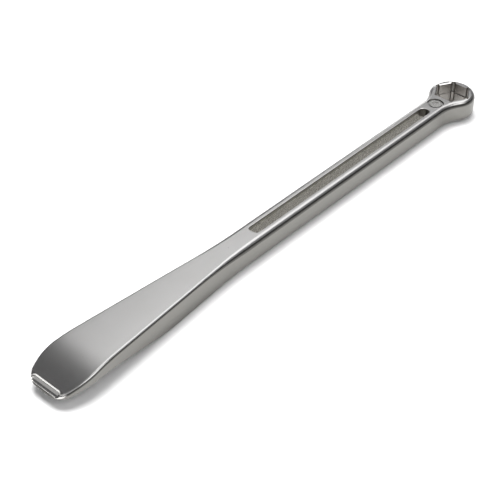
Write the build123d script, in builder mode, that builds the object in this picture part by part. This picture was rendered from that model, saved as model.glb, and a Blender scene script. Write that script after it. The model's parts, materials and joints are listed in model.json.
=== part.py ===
"""Spoon-end tyre lever with a ring wrench, forged in one piece from bar steel.

The lever lies on its flat underside. X runs along it from the spoon tip to the ring, Y runs across it and
Z is up. The origin is under the middle of the overall length. Distances named with from_ring are measured
from the axis of the ring towards the spoon tip, and those named with from_tip from the end of the spoon.
"""
import os
from math import asin, degrees, radians, sin, sqrt, tan

from build123d import *

# Whole lever
length = 234.3
thickness = 9.6
bar_width = 10.6
edge_round = 2.0

# Ring head: a hexagon for 13 mm nuts from above and one for 12 mm nuts from below
ring_diameter = 19.0
neck_round = 16.0
hex_top = 13.05
hex_bottom = 12.05
relief_radius = 0.95
relief_overcut = 0.5
hex_lead_in = 0.35

# Round groove on the neck, around a low disc with a dimple
mark_from_ring = 12.1
mark_radius = 3.45
mark_depth = 0.6
mark_disc_radius = 2.6
mark_disc_drop = 0.2
mark_dimple_radius = 1.4
mark_dimple_depth = 0.25

# Long pocket in each face of the bar, ending in a round hanging hole of the same width
pocket_start_from_ring = 18.1
pocket_end_from_ring = 125.5
pocket_width = 4.4
pocket_depth = 1.3
pocket_corner = 1.3
pocket_mouth_round = 0.3
pocket_floor_round = 0.5

# Spoon blade
flare_start_from_ring = 128.0
blade_root_from_ring = 160.0
blade_root_width = 12.9
flare_angle = 4.8
flare_round = 260.0
flare_sections = 7
blade_edge_round = 0.95
shoulder_from_tip = 9.5
shoulder_round = 24.0
tip_width = 15.6
tip_corner = 6.0
tip_bow = 0.3
tip_thickness = 2.0
bend_from_tip = 22.8
bend_round = 55.0
heel_from_tip = 47.3
heel_round = 40.0
arch_from_tip = 12.8
arch_height = 5.5
arch_round = 60.0

# Scoop ground into the end of the blade
scoop_width = 14.4
scoop_radius = 2.0
scoop_end_round = 1.8
scoop_from_tip = 0.6
scoop_depth = 0.55

tip_x = -length / 2
ring_x = length / 2 - ring_diameter / 2
flare_x = ring_x - flare_start_from_ring
root_x = ring_x - blade_root_from_ring
flare_slope = tan(radians(flare_angle))
shoulder_x = tip_x + shoulder_from_tip
shoulder_half_width = blade_root_width / 2 + (root_x - shoulder_x) * flare_slope
tip_top = thickness - bend_round + sqrt(bend_round**2 - bend_from_tip**2)
pocket_start_x = ring_x - pocket_start_from_ring
pocket_end_x = ring_x - pocket_end_from_ring
mark_x = ring_x - mark_from_ring


def is_bar_rim(edge):
    """True for the edges around the bar's upper and lower face, and false at its cut end."""
    flat = abs(edge.center().Z) < 0.01 or abs(edge.center().Z - thickness) < 0.01
    return flat and abs(edge.center().X - flare_x) > 0.01


def half_width(x):
    """Half the lever's width between the bar and the blade root, with an arc where the flare starts."""
    corner = root_x + (blade_root_width - bar_width) / 2 / flare_slope
    arc_start = corner + flare_round * tan(radians(flare_angle / 2))
    run = max(arc_start - x, 0)
    if run < flare_round * sin(radians(flare_angle)):
        return bar_width / 2 + flare_round - sqrt(flare_round**2 - run**2)
    return bar_width / 2 + (corner - x) * flare_slope


def corner_round(x):
    """Radius of the long edges, which eases from the bar's to the blade's."""
    share = (flare_x - x) / (flare_x - root_x)
    ease = share * share * (3 - 2 * share)
    return edge_round + (blade_edge_round - edge_round) * ease


def is_pocket_edge(edge, level):
    """True for the edges of a pocket that lie at one level."""
    middle = edge.center()
    along = pocket_end_x - 0.1 < middle.X < pocket_start_x + 0.1
    return along and abs(middle.Y) < pocket_width / 2 + 0.1 and abs(middle.Z - level) < 0.01


def hexagon_with_reliefs(across_flats):
    """Hexagon with a flat towards the bar, and a round relief groove in each corner."""
    corner = across_flats / sqrt(3)
    RegularPolygon(across_flats / 2, 6, major_radius=False, rotation=30)
    with PolarLocations(corner + relief_overcut - relief_radius, 6, start_angle=30):
        Circle(relief_radius)


# Ring, neck and bar
with BuildPart() as bar:
    with BuildSketch() as bar_plan:
        with Locations((ring_x, 0)):
            Circle(ring_diameter / 2)
        with Locations(((flare_x + ring_x) / 2, 0)):
            Rectangle(ring_x - flare_x, bar_width)
        fillet(bar_plan.vertices().group_by(Axis.X)[-1], neck_round)
    extrude(amount=thickness)
    fillet(bar.edges().filter_by(is_bar_rim), edge_round)

# Spoon blade: its outline from above, cut to its outline from the side
with BuildPart() as blade:
    with BuildSketch() as blade_plan:
        with BuildLine():
            near_side = Polyline(
                (root_x, -blade_root_width / 2),
                (shoulder_x, -shoulder_half_width),
                (tip_x + tip_bow, -tip_width / 2),
            )
            tip_end = ThreePointArc(near_side @ 1, (tip_x, 0), (tip_x + tip_bow, tip_width / 2))
            far_side = Polyline(
                tip_end @ 1,
                (shoulder_x, shoulder_half_width),
                (root_x, blade_root_width / 2),
            )
            Line(far_side @ 1, near_side @ 0)
        make_face()
        fillet(blade_plan.vertices().group_by(Axis.X)[1], shoulder_round)
        fillet(blade_plan.vertices().group_by(Axis.X)[0], tip_corner)
    extrude(amount=thickness)
    with BuildSketch(Plane.XZ) as blade_side:
        with BuildLine():
            upper_side = Line((root_x, thickness), (tip_x + bend_from_tip, thickness))
            bend_angle = degrees(asin(bend_from_tip / bend_round))
            bend = JernArc(upper_side @ 1, upper_side % 1, bend_round, bend_angle)
            Polyline(
                bend @ 1,
                (tip_x, tip_top - tip_thickness),
                (tip_x + arch_from_tip, arch_height),
                (tip_x + heel_from_tip, 0),
                (root_x, 0),
                upper_side @ 0,
            )
        make_face()
        fillet(blade_side.vertices().sort_by_distance((tip_x + arch_from_tip, 0, arch_height))[0], arch_round)
        fillet(blade_side.vertices().sort_by_distance((tip_x + heel_from_tip, 0, 0))[0], heel_round)
    extrude(amount=shoulder_half_width, both=True, mode=Mode.INTERSECT)
    across_or_upright = blade.edges().filter_by(Axis.Y) + blade.edges().filter_by(Axis.Z)
    fillet(blade.edges() - across_or_upright, blade_edge_round)

# Flare between the bar and the blade, with long edges that grow sharper
bar_end = bar.faces().sort_by(Axis.X)[0]
blade_end = blade.faces().sort_by(Axis.X)[-1]
with BuildPart() as flare:
    flare_faces = [bar_end]
    for step in range(1, flare_sections):
        station = flare_x + (root_x - flare_x) * step / flare_sections
        section_plane = Plane((station, 0, thickness / 2), x_dir=(0, 1, 0), z_dir=(1, 0, 0))
        with BuildSketch(section_plane) as flare_section:
            RectangleRounded(2 * half_width(station), thickness, corner_round(station))
        flare_faces.append(flare_section.sketch.face())
    flare_faces.append(blade_end)
    loft(flare_faces)

# Round-ended cutter for the scoop
with BuildPart() as scoop:
    with Locations((tip_x + scoop_from_tip, 0, tip_top + scoop_radius - scoop_depth)):
        Cylinder(scoop_radius, scoop_width, rotation=(90, 0, 0))
    fillet(scoop.edges().filter_by(GeomType.CIRCLE), scoop_end_round)

with BuildPart() as lever_forging:
    add(bar.part)
    add(flare.part)
    add(blade.part)

    # The same pocket in the upper and the lower face
    for face_z, inward in ((thickness, -1), (0, 1)):
        with BuildSketch(Plane.XY.offset(face_z)) as pocket_plan:
            straight_end = pocket_start_x - pocket_width / 2
            with Locations((straight_end, 0)):
                Circle(pocket_width / 2)
            with Locations(((pocket_end_x + straight_end) / 2, 0)):
                Rectangle(straight_end - pocket_end_x, pocket_width)
            fillet(pocket_plan.vertices().group_by(Axis.X)[0], pocket_corner)
        extrude(amount=inward * pocket_depth, mode=Mode.SUBTRACT)
        floor_z = face_z + inward * pocket_depth
        fillet(lever_forging.edges().filter_by(lambda edge: is_pocket_edge(edge, floor_z)), pocket_floor_round)
        fillet(lever_forging.edges().filter_by(lambda edge: is_pocket_edge(edge, face_z)), pocket_mouth_round)

    # Hanging hole through the ring end of the pockets
    with BuildSketch():
        with Locations((pocket_start_x - pocket_width / 2, 0)):
            Circle(pocket_width / 2)
    extrude(amount=thickness, mode=Mode.SUBTRACT)

    # Groove, disc and dimple on the neck
    with BuildSketch(Plane.XY.offset(thickness)):
        with Locations((mark_x, 0)):
            Circle(mark_radius)
            Circle(mark_disc_radius, mode=Mode.SUBTRACT)
    extrude(amount=-mark_depth, mode=Mode.SUBTRACT)
    with BuildSketch(Plane.XY.offset(thickness)):
        with Locations((mark_x, 0)):
            Circle(mark_disc_radius)
    extrude(amount=-mark_disc_drop, mode=Mode.SUBTRACT)
    with BuildSketch(Plane.XY.offset(thickness)):
        with Locations((mark_x, 0)):
            Circle(mark_dimple_radius)
    extrude(amount=-mark_disc_drop - mark_dimple_depth, mode=Mode.SUBTRACT)

    # Ring wrench opening
    for face_z, inward, across_flats in ((thickness, -1, hex_top), (0, 1, hex_bottom)):
        with BuildSketch(Plane((ring_x, 0, face_z))):
            hexagon_with_reliefs(across_flats)
        extrude(amount=inward * thickness / 2, mode=Mode.SUBTRACT)
        with BuildSketch(Plane((ring_x, 0, face_z), z_dir=(0, 0, inward))):
            RegularPolygon(across_flats / 2 + hex_lead_in, 6, major_radius=False, rotation=30)
        extrude(amount=hex_lead_in, taper=45, mode=Mode.SUBTRACT)

    # Scoop across the end of the blade
    add(scoop.part, mode=Mode.SUBTRACT)

lever_forging.part.label = "lever_forging"
os.makedirs("parts", exist_ok=True)
export_step(lever_forging.part, "parts/lever_forging.step")
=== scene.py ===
"""Satin-plated spoon tyre lever on a white studio floor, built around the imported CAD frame."""
import json
from math import cos, pi, radians, sin, tan

import bpy
from mathutils import Matrix, Vector


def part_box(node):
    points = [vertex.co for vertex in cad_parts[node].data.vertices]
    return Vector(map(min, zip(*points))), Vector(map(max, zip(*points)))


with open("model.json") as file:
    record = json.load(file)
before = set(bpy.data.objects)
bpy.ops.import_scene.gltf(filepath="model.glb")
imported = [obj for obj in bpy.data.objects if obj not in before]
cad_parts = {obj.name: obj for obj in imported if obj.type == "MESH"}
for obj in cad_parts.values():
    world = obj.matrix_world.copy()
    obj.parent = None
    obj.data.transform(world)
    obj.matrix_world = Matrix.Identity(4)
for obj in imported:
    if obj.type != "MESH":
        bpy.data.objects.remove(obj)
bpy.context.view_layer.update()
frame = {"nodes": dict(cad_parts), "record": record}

MM = 0.001

# Places on the lever, in metres
lever = frame["nodes"]["lever_forging"]
low_corner, high_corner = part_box("lever_forging")
mounts = {mount["name"]: mount for mount in frame["record"]["mounts"]}
ring_centre = Vector(mounts["nut_socket_13"]["pos_m"])
hanging_hole = Vector(mounts["hanging_hole"]["pos_m"])
hole_radius = mounts["hanging_hole"]["dims"]["r_mm"] * MM
half_thickness = high_corner.z / 2
half_pocket = 107.4 * MM / 2
pocket_middle = hanging_hole.x + hole_radius - half_pocket
socket_reach = 7.9 * MM
mark_x = ring_centre.x - 12.1 * MM
mark_radius = 2.6 * MM
scoop_axis = low_corner + Vector((0.6 * MM, 0, 6.1 * MM))
scoop_radius = 2.0 * MM
nose_depth = 0.25 * MM

# Width over which one finish gives way to the next
edge = 0.15 * MM

# Colours, where a pair is the darkest and the lightest tone
plate_tones = (0.58, 0.575, 0.565), (0.62, 0.615, 0.61)
# Painted shade: flanks coloured darker than the plate to stand in for the dim reflection they would
# mirror
flank_painted_shade = (0.245, 0.24, 0.225)
# Painted reflection: the long edge roundings are coloured near black, standing in for the dark room
# they would mirror
painted_dark_edge_colour = (0.12, 0.117, 0.11)
# Painted light: pocket and hanging hole walls coloured lighter than the plate to stand in for light
# they would reflect
pocket_wall_painted_light = (0.68, 0.66, 0.62)
socket_wall_colour = (0.36, 0.342, 0.32)
scoop_colour = (0.74, 0.73, 0.71)
# Painted reflection: the nose is coloured dark to stand in for the dark surroundings it would mirror
nose_painted_shade = (0.15, 0.145, 0.135)
# Painted highlight: the rounded lips of the pocket and the ring's opening are coloured near white
lip_painted_highlight = (0.80, 0.79, 0.775)
die_tones = (0.22, 0.212, 0.187), (0.60, 0.58, 0.53)
stamp_tones = (0.42, 0.415, 0.40), (0.68, 0.675, 0.66)
floor_tones = (0.86, 0.86, 0.86), (0.88, 0.88, 0.88)
room_colour = (0.10, 0.10, 0.103)

# Roughness of the plate, and what marks and finishes add to it
plate_roughness = 0.25
marks_roughness = 0.10
flank_roughness = 0.08
die_roughness = 0.20
scoop_roughness = -0.12

# Heights of the relief, in millimetres
marks_height = 0.002
cloud_height = 0.012
grain_height = 0.30
stamp_share = 0.8

# Camera
camera_azimuth = radians(-48.1)
camera_elevation = radians(39.46)
camera_distance = 433.84 * MM
camera_lens = 88.59
camera_target = Vector((low_corner.x + 90.75 * MM, -6.67 * MM, high_corner.z))

# Softboxes: azimuth, elevation, half spread across and up in degrees, and radiance
softbox_distance = 2.0
softboxes = {
    "key": (113, 60, 24, 24, 1.66),
    "rim": (5, 52, 20, 20, 2.2),
    "front": (-58, 42, 20, 20, 0.6),
    "fill": (250, 34, 30, 30, 0.35),
    "strip": (130, 13, 4, 11, 2.4),
    "floor_wash": (155, 72, 17, 17, 13.0),
}


def direction(azimuth, elevation):
    """Unit vector at an azimuth from -Y towards +X, and at an elevation, both in radians."""
    return Vector((sin(azimuth) * cos(elevation), -cos(azimuth) * cos(elevation), sin(elevation)))


# Shader helpers
def new_node(tree, kind, **values):
    """A new node with its properties set, and its inputs set by name."""
    node = tree.nodes.new(kind)
    for name, value in values.items():
        if hasattr(node, name):
            setattr(node, name, value)
        else:
            node.inputs[name.replace("_", " ")].default_value = value
    return node


def calculate(tree, operation, first, second=0.0):
    """Output of a Math node, whose two inputs are sockets or numbers."""
    node = new_node(tree, "ShaderNodeMath", operation=operation)
    for socket, value in zip(node.inputs, (first, second)):
        if isinstance(value, (int, float)):
            socket.default_value = value
        else:
            tree.links.new(value, socket)
    return node.outputs[0]


def product(tree, first, *others):
    """Several values multiplied together."""
    for value in others:
        first = calculate(tree, "MULTIPLY", first, value)
    return first


def total(tree, first, *others):
    """Several values added together."""
    for value in others:
        first = calculate(tree, "ADD", first, value)
    return first


def offset(tree, value, middle):
    """How far a value is from a middle, either way."""
    return calculate(tree, "ABSOLUTE", calculate(tree, "SUBTRACT", value, middle))


def reach(tree, first, first_middle, second, second_middle):
    """Distance of a point from an axis, by its two coordinates across that axis."""
    first_square = calculate(tree, "POWER", calculate(tree, "SUBTRACT", first, first_middle), 2.0)
    second_square = calculate(tree, "POWER", calculate(tree, "SUBTRACT", second, second_middle), 2.0)
    return calculate(tree, "SQRT", calculate(tree, "ADD", first_square, second_square))


def ramp(tree, value, start, end):
    """A smooth step of a value, from 0 at start to 1 at end."""
    node = new_node(tree, "ShaderNodeMapRange", interpolation_type="SMOOTHSTEP")
    tree.links.new(value, node.inputs["Value"])
    node.inputs["From Min"].default_value = start
    node.inputs["From Max"].default_value = end
    return node.outputs["Result"]


def noise(tree, vector, scale, detail=4.0, roughness=0.55, stretch=(1, 1, 1)):
    """Noise in the lever's own space, with scale in cycles per metre."""
    mapping = new_node(tree, "ShaderNodeMapping")
    mapping.inputs["Scale"].default_value = stretch
    tree.links.new(vector, mapping.inputs["Vector"])
    node = new_node(tree, "ShaderNodeTexNoise", Scale=scale, Detail=detail, Roughness=roughness)
    tree.links.new(mapping.outputs["Vector"], node.inputs["Vector"])
    return node.outputs["Fac"]


def mix_colour(tree, share, first, second):
    """Two colours mixed by a share, each a socket or three numbers."""
    node = new_node(tree, "ShaderNodeMix", data_type="RGBA")
    tree.links.new(share, node.inputs["Factor"])
    colour_inputs = [socket for socket in node.inputs if socket.type == "RGBA"]
    for socket, value in zip(colour_inputs, (first, second)):
        if isinstance(value, tuple):
            socket.default_value = (*value, 1)
        else:
            tree.links.new(value, socket)
    return [socket for socket in node.outputs if socket.type == "RGBA"][0]


def satin_steel():
    """Satin plate on a forging: smooth on the outside, grainy where the dies left it in the pockets."""
    material = bpy.data.materials.new("satin_steel")
    material.use_nodes = True
    tree = material.node_tree
    shader = tree.nodes["Principled BSDF"]
    place = new_node(tree, "ShaderNodeTexCoord").outputs["Object"]
    axes = new_node(tree, "ShaderNodeSeparateXYZ")
    tree.links.new(place, axes.inputs[0])
    x, y, z = axes.outputs
    normal = new_node(tree, "ShaderNodeSeparateXYZ")
    tree.links.new(new_node(tree, "ShaderNodeNewGeometry").outputs["Normal"], normal.inputs[0])
    tilt = normal.outputs["Z"]
    facing_up = calculate(tree, "ABSOLUTE", tilt)

    # Long pockets: their walls painted lighter as painted light, their floors as the dies left them
    along = offset(tree, x, pocket_middle)
    aside = offset(tree, y, 0.0)
    in_length = ramp(tree, along, half_pocket, half_pocket - edge)
    in_width = ramp(tree, aside, hole_radius + 2 * edge, hole_radius)
    from_middle = offset(tree, z, half_thickness)
    sunken = ramp(tree, from_middle, half_thickness - 2 * edge, half_thickness - 4 * edge)
    in_pocket = product(tree, in_length, in_width, sunken)
    on_die_floor = product(tree, in_pocket, ramp(tree, facing_up, 0.3, 0.8))

    # Walls of the ring wrench opening
    from_ring = reach(tree, x, ring_centre.x, y, 0.0)
    near_ring_axis = ramp(tree, from_ring, socket_reach + edge, socket_reach - edge)
    in_socket = product(tree, near_ring_axis, ramp(tree, facing_up, 0.6, 0.3))

    # Rounded lips of the upper pocket and the ring's opening, painted bright as a painted highlight
    near_length = ramp(tree, along, half_pocket + 5 * edge, half_pocket + 3 * edge)
    near_width = ramp(tree, aside, hole_radius + 5 * edge, hole_radius + 3 * edge)
    near_pocket = product(tree, near_length, near_width)
    near_socket = ramp(tree, from_ring, socket_reach + 4 * edge, socket_reach + 2 * edge)
    near_mouth = calculate(tree, "MAXIMUM", near_pocket, near_socket)
    bevel = product(tree, ramp(tree, facing_up, 0.985, 0.93), ramp(tree, facing_up, 0.2, 0.4))
    lip_highlight_mask = product(tree, near_mouth, bevel, ramp(tree, sunken, 1.0, 0.0))

    # Scoop in the end of the spoon, ground smoother than the rest, and the thin nose in front of it,
    # painted dark as a painted dark reflection
    from_scoop = reach(tree, x, scoop_axis.x, z, scoop_axis.z)
    in_scoop = ramp(tree, from_scoop, scoop_radius + edge / 2, scoop_radius + edge / 4)
    at_nose = ramp(tree, x, low_corner.x + 2 * nose_depth, low_corner.x + nose_depth)

    # Upright flanks, rougher than the faces and painted darker as painted shade for the dim reflection
    # they would mirror, under long edges that carry a darker painted band still
    flank = ramp(tree, facing_up, 0.5, 0.1)
    # Painted dark reflection band on the roundings between the faces and the flanks, kept off the scoop
    # and the mouths
    rounding = product(tree, ramp(tree, tilt, 0.78, 0.62), ramp(tree, tilt, 0.03, 0.16))
    off_scoop = ramp(tree, from_scoop, scoop_radius, scoop_radius + 4 * edge)
    painted_dark_edge = product(tree, rounding, off_scoop, ramp(tree, near_mouth, 1.0, 0.0))

    # Plain disc on the neck, stamped with a fine grain
    from_mark = reach(tree, x, mark_x, y, 0.0)
    on_neck = ramp(tree, z, high_corner.z - 8 * edge, high_corner.z - 7 * edge)
    on_mark = product(tree, ramp(tree, from_mark, mark_radius + edge, mark_radius), on_neck)

    # Die grain, fine tumbling marks and slow waviness
    grain = noise(tree, place, 2300.0, detail=5.0, roughness=0.65)
    marks = noise(tree, place, 1500.0, stretch=(0.25, 1, 1))
    cloud = noise(tree, place, 90.0, detail=2.0)

    # Colour
    grain_tone = ramp(tree, grain, 0.40, 0.60)
    colour = mix_colour(tree, cloud, *plate_tones)
    for share, finish in (
        # painted shade on the upright flanks
        (flank, flank_painted_shade),
        # painted dark reflection on the long edge roundings
        (painted_dark_edge, painted_dark_edge_colour),
        # painted light on the pocket and hanging hole walls
        (in_pocket, pocket_wall_painted_light),
        (in_socket, socket_wall_colour),
        (in_scoop, scoop_colour),
        # painted dark reflection on the nose
        (at_nose, nose_painted_shade),
        # painted highlight on the rounded lips
        (lip_highlight_mask, lip_painted_highlight),
        (on_mark, mix_colour(tree, grain_tone, *stamp_tones)),
        (on_die_floor, mix_colour(tree, grain_tone, *die_tones)),
    ):
        colour = mix_colour(tree, share, colour, finish)
    tree.links.new(colour, shader.inputs["Base Color"])
    shader.inputs["Metallic"].default_value = 1.0

    # Roughness
    roughness = total(
        tree,
        product(tree, marks, marks_roughness),
        plate_roughness,
        product(tree, flank, flank_roughness),
        product(tree, on_die_floor, die_roughness),
        product(tree, in_scoop, scoop_roughness),
    )
    tree.links.new(roughness, shader.inputs["Roughness"])

    # Relief
    grainy = total(tree, on_die_floor, product(tree, on_mark, stamp_share))
    height = total(
        tree,
        product(tree, marks, marks_height),
        product(tree, cloud, cloud_height),
        product(tree, grain, grainy, grain_height),
    )
    bump = new_node(tree, "ShaderNodeBump", Strength=1.0, Distance=MM)
    tree.links.new(height, bump.inputs["Height"])
    tree.links.new(bump.outputs["Normal"], shader.inputs["Normal"])
    return material


def studio_floor():
    """A wide plain white table top under the lever."""
    material = bpy.data.materials.new("studio_white")
    material.use_nodes = True
    tree = material.node_tree
    shader = tree.nodes["Principled BSDF"]
    place = new_node(tree, "ShaderNodeTexCoord").outputs["Object"]
    shade = mix_colour(tree, noise(tree, place, 400.0), *floor_tones)
    tree.links.new(shade, shader.inputs["Base Color"])
    shader.inputs["Roughness"].default_value = 0.85
    shader.inputs["Specular IOR Level"].default_value = 0.1
    bpy.ops.mesh.primitive_plane_add(size=4.0, location=(0, 0, low_corner.z))
    floor = bpy.context.object
    floor.name = "studio_floor"
    floor.data.materials.append(material)


def studio_camera():
    """A long lens that looks down the lever from beyond its spoon end."""
    back = direction(camera_azimuth, camera_elevation)
    right = Vector((cos(camera_azimuth), sin(camera_azimuth), 0))
    up = back.cross(right)
    place = camera_target + back * camera_distance
    data = bpy.data.cameras.new("camera")
    data.lens = camera_lens
    data.sensor_width = 36
    data.clip_start = 0.01
    camera = bpy.data.objects.new("camera", data)
    turn = Matrix((right, up, back)).transposed().to_4x4()
    camera.matrix_world = Matrix.Translation(place) @ turn
    bpy.context.scene.collection.objects.link(camera)
    bpy.context.scene.camera = camera


def softbox(name, azimuth, elevation, spread_across, spread_up, radiance):
    """An oval area light that faces the lever."""
    light = bpy.data.lights.new(name, "AREA")
    light.shape = "ELLIPSE"
    light.size = 2 * softbox_distance * tan(radians(spread_across))
    light.size_y = 2 * softbox_distance * tan(radians(spread_up))
    light.energy = radiance * pi * pi * light.size * light.size_y / 4
    lamp = bpy.data.objects.new(name, light)
    bpy.context.scene.collection.objects.link(lamp)
    towards = direction(radians(azimuth), radians(elevation))
    lamp.location = towards * softbox_distance
    lamp.rotation_euler = towards.to_track_quat("Z", "Y").to_euler()
    lamp.visible_camera = False
    return lamp


def studio_light():
    """Softboxes around the lever in a dim room, with one that whitens the floor and isn't mirrored."""
    lamps = {name: softbox(name, *values) for name, values in softboxes.items()}
    lamps["floor_wash"].visible_glossy = False
    world = bpy.data.worlds.new("room")
    world.use_nodes = True
    world.node_tree.nodes["Background"].inputs["Color"].default_value = (*room_colour, 1)
    bpy.context.scene.world = world
    bpy.context.scene.view_settings.view_transform = "Standard"


studio_camera()
lever.material_slots[0].material = satin_steel()
studio_floor()
studio_light()
